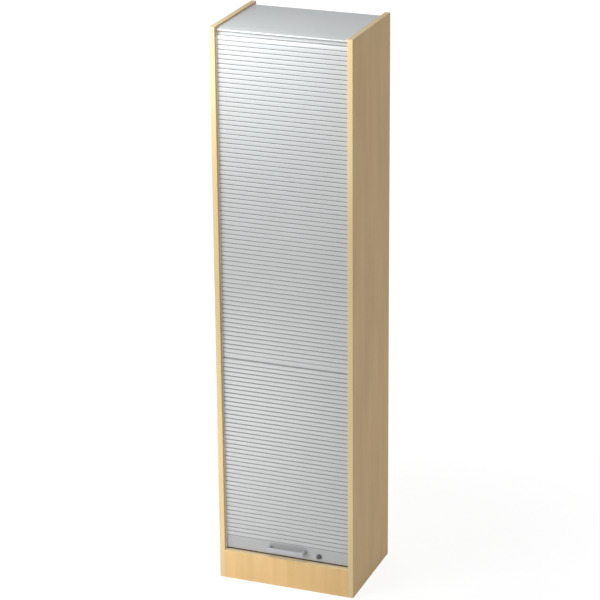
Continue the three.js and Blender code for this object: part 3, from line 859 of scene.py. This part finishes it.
def cover_section():
    """Points (depth, height) round the whole sheet."""
    half = cover_thickness / 2
    lip = arc(cover_front + half, cover_top - nose_height + half, half, 360, 180, 6)
    rear = arc(cover_rear - half, cover_top - half, half, 90, -90, 6)
    return [*lip, *cover_line(0.0), *rear, *reversed(cover_line(cover_thickness))]


# %% [markdown]
# The front of the sheet just fits between the panels, but its flat part reaches into a groove in
# each of them. So each end of the pushed outline is split where the crown ends, and the rear
# half of it is pushed on by the depth of the groove.

# %% Top cover
cover_half_width = 230.7
cover_in_groove = 5.0

cover_mesh = prism(cover_section(), -cover_half_width, cover_half_width,
                   lambda depth, height, x: place(x, depth, height))
cover_body = opened(cover_mesh)
for end in [face for face in cover_body.faces if abs(face.normal.x) > 0.99]:
    at_crown_end = [corner for corner in end.verts
                    if abs(corner.co.y / MM - front_edge - crown_end) < 0.01]
    halves = [end, bmesh.utils.face_split(end, *at_crown_end)[0]]
    flat_half = max(halves, key=lambda face: face.calc_center_median().y)
    outwards = Vector((math.copysign(cover_in_groove * MM, flat_half.normal.x), 0.0, 0.0))
    pushed = bmesh.ops.extrude_discrete_faces(cover_body, faces=[flat_half])["faces"]
    bmesh.ops.translate(cover_body, verts=pushed[0].verts, vec=outwards)
settle(finished("cover_sheet", kept(cover_body, cover_mesh), cover_silver),
       "carcass", "silver_cover", "top_cover")

# %% [markdown]
# ## Softening CAD shapes
#
# Small machined and moulded parts have the right shape in the CAD model, but real edges are
# never knife sharp: each has a small radius that catches light. `softened` copies the CAD mesh,
# merges its loose triangles, joins the flat ones into larger faces, and rounds the edges.

# %% Rail glides, keeper and tail bar
def softened(name, node, material, width):
    """A copy of a CAD node with rounded edges."""
    body = opened(nodes[node].data)
    bmesh.ops.remove_doubles(body, verts=body.verts, dist=2e-6)
    bmesh.ops.dissolve_limit(body, angle_limit=math.radians(0.5),
                             verts=body.verts, edges=body.edges)
    return rounded(finished(name, kept(body, bpy.data.meshes.new(node)), material), width, 3)


for label in ("left", "right"):
    settle(softened("glide_" + label, "rail_glide_" + label, black_plastic, 0.5),
           "shutter", "black_plastic", "rail_glide_" + label)
settle(softened("cam_keeper", "lock_keeper", zinc_plate, 0.3), "carcass", "zinc_steel",
       "lock_keeper")
settle(softened("tail_bar", "tail_end_bar", rail_silver, 0.8), "curtain_end", "silver_rail",
       "tail_end_bar")

# %% [markdown]
# ## The bow handle
#
# The handle is a flat bar bent to a bow, with a broad foot at each end. Seen from above it is
# one closed outline with round outer and inner corners. The outline is pushed up by the bar's
# height, and a Bevel modifier rolls its upper and lower edges.

# %% Handle
handle_front = -9.0
handle_foot = 16.2
handle_end = 69.5
handle_bar = 6.0
handle_post = 11.0
handle_corner = 7.0
handle_inner_corner = 6.0
handle_low = 130.0
handle_high = 146.0
handle_height = (handle_low + handle_high) / 2
handle_roll = 2.2


def handle_outline():
    inner = handle_end - handle_post
    behind = handle_front + handle_bar
    half = [
        *arc(handle_end - handle_corner, handle_front + handle_corner, handle_corner,
             270, 360, 12),
        (handle_end, handle_foot), (inner, handle_foot),
        *arc(inner - handle_inner_corner, behind + handle_inner_corner, handle_inner_corner,
             360, 270, 8),
    ]
    return [*half, *[(-x, depth) for x, depth in reversed(half)]]


handle_mesh = prism(handle_outline(), handle_low, handle_high, place)
bow = rounded(finished("handle_bow", handle_mesh, handle_silver), handle_roll, 5, limit=50.0)
settle(bow, "shutter", "silver_handle", "pull_handle")

# %% [markdown]
# ## The lock
#
# The cylinder lock is turned on a lathe, so its parts are outlines spun round their own axis.
# The housing stands proud of the rail with a flange round its foot, and the plug sits inside it
# with a key slot. Behind the rail are a hexagon nut and the cam that hooks under the keeper.

# %% Turned parts
lock_x = 118.0
lock_height = 131.0
turned_steps = 64


def circle(radius, count):
    """Points on a circle round the origin, or the origin itself if there is no radius."""
    angles = [2 * math.pi * i / count for i in range(count if radius else 1)]
    return [(radius * math.cos(a), radius * math.sin(a)) for a in angles]


def turned_rings(body, profile, count, to_point):
    """A ring of points for each (radius, distance along the axis)."""
    return [[body.verts.new(to_point(u, v, along)) for u, v in circle(radius, count)]
            for radius, along in profile]


def at_lock(u, v, depth):
    """A point beside the lock's axis."""
    return place(lock_x + u, depth, lock_height + v)


def lathe(profile):
    """A closed ring or disc: an outline of (radius, depth) turned round the lock's axis."""
    body = bmesh.new()
    rings = turned_rings(body, profile, turned_steps, at_lock)
    skin(body, [*rings, rings[0]] if profile[0][0] else rings)
    bmesh.ops.recalc_face_normals(body, faces=body.faces)
    return kept(body, bpy.data.meshes.new("turned"))


def turned_corner(radius, depth, roll, steps):
    """The rounded front corner of a turned part."""
    return arc(radius - roll, depth + roll, roll, 270, 360, steps)


housing_front = 8.0
housing_back = 30.9
flange_front = 13.6
flange_back = 16.2
bore = 5.8
bore_roll = 0.5
snout_radius = 7.6
snout_roll = 0.8
flange_radius = 9.2
flange_roll = 0.7
barrel_radius = 8.0
housing_profile = [
    (bore, housing_front + bore_roll),
    *arc(bore + bore_roll, housing_front + bore_roll, bore_roll, 180, 270, 3),
    *turned_corner(snout_radius, housing_front, snout_roll, 5), (snout_radius, flange_front),
    *turned_corner(flange_radius, flange_front, flange_roll, 4), (flange_radius, flange_back),
    (barrel_radius, flange_back), (barrel_radius, housing_back), (bore, housing_back),
]
settle(finished("lock_cylinder", lathe(housing_profile), dark_nickel),
       "shutter", "lock_dark", "lock_housing")

# %% [markdown]
# The plug's face is cut by the key slot. A Boolean modifier with a slim block does that on the
# turned plug, and then the block is thrown away.

# %% Plug with its key slot, cam and nut
tool_stands_out = 1.0


def cut_out(piece, tool_mesh):
    """Takes the tool's shape out of a piece."""
    tool = add_object("tool", tool_mesh)
    boolean = piece.modifiers.new("cut", "BOOLEAN")
    boolean.operation = "DIFFERENCE"
    boolean.solver = "EXACT"
    boolean.object = tool
    apply_modifiers(piece)
    bpy.data.objects.remove(tool)
    shade(piece.data)
    return piece


plug_front = 7.5
plug_back = 31.2
plug_radius = 5.5
plug_roll = 0.5
stud_back = 34.0
stud_radius = 3.0
key_slot_depth = 8.0
plug_profile = [
    (0.0, plug_front), *turned_corner(plug_radius, plug_front, plug_roll, 4),
    (plug_radius, plug_back), (stud_radius, plug_back), (stud_radius, stud_back), (0.0, stud_back),
]
key_outline = [(-0.7, -3.2), (0.7, -3.2), (0.7, -0.6), (1.1, -0.2), (1.1, 0.9), (0.7, 1.3),
               (0.7, 3.2), (-0.7, 3.2)]
key_slot = prism(key_outline, plug_front - tool_stands_out, plug_front + key_slot_depth, at_lock)
plug = cut_out(finished("key_plug", lathe(plug_profile), dark_nickel), key_slot)
settle(plug, "lock_core", "lock_dark", "lock_plug")
settle(softened("locking_cam", "lock_cam", zinc_plate, 0.3), "lock_core", "zinc_steel", "lock_cam")
settle(softened("housing_nut", "lock_nut", zinc_plate, 0.25), "shutter", "zinc_steel", "lock_nut")

# %% [markdown]
# ## Screws and shelf pins
#
# Screws and pins repeat, so each kind is drawn once and copied. The tree takes one drawn part as
# its geometry and a second object whose points say where the copies go. Each point carries the
# three angles by which its copy is turned.

# %% Geometry Nodes: copies at marked places
copy_graph, copy_given = new_tree("copies_at_places", {"Places": "Object", "Finish": "Material"})
marked = copy_graph.node("GeometryNodeObjectInfo", sockets={
    "Object": copy_given.other("Places"), "As Instance": False}, output="Geometry")
turned_by = copy_graph.node("GeometryNodeInputNamedAttribute", {"data_type": "FLOAT_VECTOR"}, {
    "Name": "turned"})
copies = copies_on(copy_graph, marked, copy_given.other("Geometry"), turned_by)
copy_graph.node("NodeGroupOutput", sockets={
    0: with_finish(copy_graph, copies, copy_given.other("Finish"))})


def copied(name, mesh, places, material):
    """An object with a copy of the mesh at each (point, angles)."""
    points = bpy.data.meshes.new("places")
    points.from_pydata([point for point, _ in places], [], [])
    turned = points.attributes.new("turned", "FLOAT_VECTOR", "POINT")
    for i, (_, angles) in enumerate(places):
        turned.data[i].vector = angles
    marks = add_object("places", points)
    piece = finished(name, mesh, None)
    run_tree(piece, copy_graph, {"Places": marks, "Finish": material})
    bpy.data.objects.remove(marks)
    return piece


# %% [markdown]
# A screw here is a pan head with a cross recess and a plain shank. It is drawn standing up: head
# at the top, and the seat of the head at height zero.

# %% One screw
head_dome = [(1.0, 0.0), (1.0, 0.45), (0.86, 0.82), (0.55, 1.0)]
recess_floor = 0.4
recess_arm = 0.28


def add_rod(body, profile, count, to_point):
    """Adds a closed round body, from an outline of (radius, height), to another one."""
    rings = turned_rings(body, profile, count, to_point)
    skin(body, rings)
    body.faces.new(list(reversed(rings[0])))
    body.faces.new(rings[-1])


def upright(u, v, height):
    return Vector((u, v, height)) * MM


def screw_mesh(head_radius, head_height, shank_radius, shank_length, recess):
    """A screw. The dome and the recess are given as shares of the head and of the arm."""
    dome = [(head_radius * across, head_height * up) for across, up in head_dome]
    body = bmesh.new()
    add_rod(body, [(shank_radius, -shank_length), (shank_radius, 0.0), *dome], 24, upright)
    mesh = kept(body, bpy.data.meshes.new("screw"))
    arm = recess / 2
    half = arm * recess_arm
    cross = [(half, half), (half, arm), (-half, arm)]
    for _ in range(3):
        cross += [(-v, u) for u, v in cross[-3:]]
    tool = prism(cross, head_height * recess_floor, head_height + tool_stands_out, upright)
    whole = cut_out(finished("screw", mesh, None), tool)
    cut_mesh = whole.data
    bpy.data.objects.remove(whole)
    return cut_mesh


facing_back = (math.radians(-90), 0.0, 0.0)
standing = (0.0, 0.0, 0.0)

keeper_seats = [place(x, 36.5, 108.8) for x in (148.0, 157.0)]
keeper_screw = screw_mesh(
    head_radius=3.4, head_height=1.8, shank_radius=1.7, shank_length=14.8, recess=3.6)
settle(copied("keeper_screws", keeper_screw, [(seat, standing) for seat in keeper_seats],
              zinc_plate),
       "carcass", "zinc_steel", "keeper_screw_1", "keeper_screw_2")

handle_seats = [place(x, 28.8, handle_height) for x in (-64.0, 64.0)]
handle_screw = screw_mesh(
    head_radius=4.0, head_height=2.2, shank_radius=2.0, shank_length=24.0, recess=4.2)
settle(copied("handle_screws", handle_screw, [(seat, facing_back) for seat in handle_seats],
              zinc_plate),
       "shutter", "zinc_steel", "handle_screw_1", "handle_screw_2")

cam_seat = place(lock_x, 34.3, lock_height)
cam_screw = screw_mesh(
    head_radius=4.35, head_height=1.9, shank_radius=2.6, shank_length=0.3, recess=4.6)
settle(copied("cam_fixing_screw", cam_screw, [(cam_seat, facing_back)], zinc_plate),
       "lock_core", "zinc_steel", "cam_screw")

# %% [markdown]
# A shelf pin has a round shank in the panel, a plate against the panel's face and a tongue that
# the shelf lies on. Three of the four shelves can be moved and have four pins each. The pins on
# the left are the same part turned half round, which is how they are used on a real cabinet.

# %% Shelf pins
pin_shelves = {"shelf_1": 457.4, "shelf_2": 827.8, "shelf_4": 1568.6}
pin_rows = {"front": 88.2, "back": 268.0}
pin_back_x = 230.7
pin_shank_length = 8.3
pin_shank_radius = 2.5
pin_shank_drop = 6.5
pin_chamfer = 0.6
pin_overlap = 1.0
pin_half_width = 5.0


def pin_mesh():
    """A pin for the right-hand panel. The origin is at the panel, level with the shelf."""
    bracket = [(0.0, 0.0), (-9.0, 0.0), (-9.0, -2.5), (-3.2, -2.5), (-2.4, -2.8), (-2.0, -3.6),
               (-2.0, -13.0), (0.0, -13.0)]
    body = opened(prism(bracket, -pin_half_width, pin_half_width,
                        lambda u, v, depth: Vector((u, depth, v)) * MM))
    shank = [(pin_shank_radius, -pin_overlap),
             (pin_shank_radius, pin_shank_length - pin_chamfer),
             (pin_shank_radius - pin_chamfer, pin_shank_length)]
    add_rod(body, shank, 20, lambda u, v, x: Vector((x, u, v - pin_shank_drop)) * MM)
    return kept(body, bpy.data.meshes.new("pin"))


pin_places = [
    (place(side * pin_back_x, depth, height), (0.0, 0.0, 0.0 if side > 0 else math.pi))
    for height in pin_shelves.values() for depth in pin_rows.values() for side in (-1, 1)]
pin_nodes = [f"{shelf}_pin_{row}_{label}" for shelf in pin_shelves for row in pin_rows
             for label in ("left", "right")]
settle(copied("shelf_pins", pin_mesh(), pin_places, zinc_plate),
       "carcass", "zinc_steel", *pin_nodes)

# %% [markdown]
# ## Light, floor and background
#
# The studio is plain. One soft lamp stands close in front of the top edge, a little to the left,
# and makes the curtain brightest there. A second one lights the lower half in the same way. A
# wide key lamp stands further off to the left, another wide one behind the cabinet, and the world
# fills the rest evenly.
#
# The background is white because the world and the floor say so to the camera, not because of
# more light: the Light Path node tells camera, glossy and see-through rays from the others. The
# floor keeps some plain white paint in the mix, so the cabinet still has its shadow there.

# %% World and lamps
def seen_directly(graph):
    """1 for rays from the camera and for those that show the background in gloss or glass."""
    path = graph.node("ShaderNodeLightPath", output="Is Camera Ray")
    return (path + path.other("Is Glossy Ray") + path.other("Is Transmission Ray")).limited()


fill_level = 0.42
pure_white = colour(1.0, 1.0, 1.0)

world = bpy.data.worlds.new("studio")
scene.world = world
world.use_nodes = True
world.node_tree.nodes.clear()
sky = Graph(world.node_tree)
fill, white = (sky.node("ShaderNodeBackground", sockets={
    "Color": pure_white, "Strength": level}) for level in (fill_level, 1.0))
sky.node("ShaderNodeOutputWorld", sockets={"Surface": sky.node("ShaderNodeMixShader", sockets={
    0: seen_directly(sky), 1: fill, 2: white})})


def lamp(name, position, target, width, height, power):
    """A rectangular soft lamp that points at a place."""
    light = bpy.data.lights.new(name, "AREA")
    light.shape = "RECTANGLE"
    light.size = width
    light.size_y = height
    light.energy = power
    aim = Vector(target) - Vector(position)
    add_object(name, light).matrix_world = (
        Matrix.Translation(position) @ aim.to_track_quat("-Z", "Y").to_matrix().to_4x4())


lamp("upper_lamp", position=(-0.38, -0.85, 2.31), target=(-0.06, -0.16, 1.91),
     width=0.5, height=0.4, power=11.0)
lamp("lower_lamp", position=(-0.42, -0.95, 0.40), target=(-0.10, -0.16, 0.40),
     width=0.5, height=0.5, power=3.7)
lamp("key_lamp", position=(-1.35, -1.75, 1.75), target=(0.0, -0.1, 1.15),
     width=1.0, height=2.0, power=10.5)
lamp("rear_lamp", position=(-1.40, 2.60, 1.05), target=(0.0, 0.1, 1.05),
     width=1.4, height=1.4, power=28.0)

# %% Floor
bounced_share = 0.82
paint_share = 0.16
own_white_near = 0.89
far_from = 0.8
fades_over = 1.8

floor_material = bpy.data.materials.new("floor_white")
floor_material.use_nodes = True
floor_material.node_tree.nodes.clear()
floor_paint = Graph(floor_material.node_tree)
floor_place = floor_paint.node("ShaderNodeTexCoord").other("Object")
away = floor_paint.node("ShaderNodeVectorMath", {"operation": "LENGTH"}, {0: floor_place},
                        output="Value")
far = away.rising(far_from, 1 / fades_over)
bouncing, thin_paint = (floor_paint.node("ShaderNodeBsdfDiffuse", sockets={
    "Color": toned(pure_white, share)}) for share in (bounced_share, paint_share))
own_white = floor_paint.node("ShaderNodeEmission", sockets={
    "Color": pure_white, "Strength": own_white_near + (1 - own_white_near) * far})
shown = floor_paint.node("ShaderNodeAddShader", sockets={0: thin_paint, 1: own_white})
floor_paint.node("ShaderNodeOutputMaterial", sockets={
    "Surface": floor_paint.node("ShaderNodeMixShader", sockets={
        0: seen_directly(floor_paint), 1: bouncing, 2: shown})})

floor_radius = 40.0
floor_height = -0.0005
floor_steps = 96
floor_mesh = bpy.data.meshes.new("studio_floor")
floor_mesh.from_pydata([(x, y, floor_height) for x, y in circle(floor_radius, floor_steps)], [],
                       [list(range(floor_steps))])
floor_mesh.materials.append(floor_material)
floor_object = add_object("studio_floor", floor_mesh)
scene.view_settings.view_transform = "Standard"
